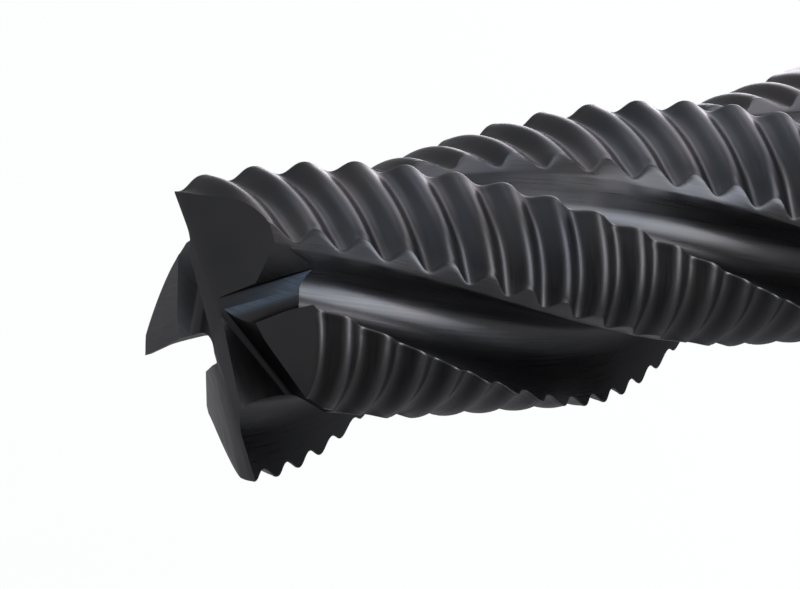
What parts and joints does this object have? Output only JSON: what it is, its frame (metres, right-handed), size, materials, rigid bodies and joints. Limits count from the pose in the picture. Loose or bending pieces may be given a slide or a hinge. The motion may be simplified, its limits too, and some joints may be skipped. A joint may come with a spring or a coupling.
{
  "type": "roughing end mill",
  "caption": "Straight-shank roughing end mill with helical teeth, a staggered rounded chip-breaking profile and gashed end teeth.",
  "frame": {"origin": "centre of the shank's flat end face", "axes": "+Z along the cutter's axis, from the shank end to the cutting end; a long end tooth points along +Y"},
  "size_m": [0.0126, 0.0126, 0.0825],
  "materials": {
    "dark_coating": "dark grey coating over ground steel, satin"
  },
  "bodies": {
    "root": {"roughing_end_mill": "dark_coating"}
  },
  "joints": []
}
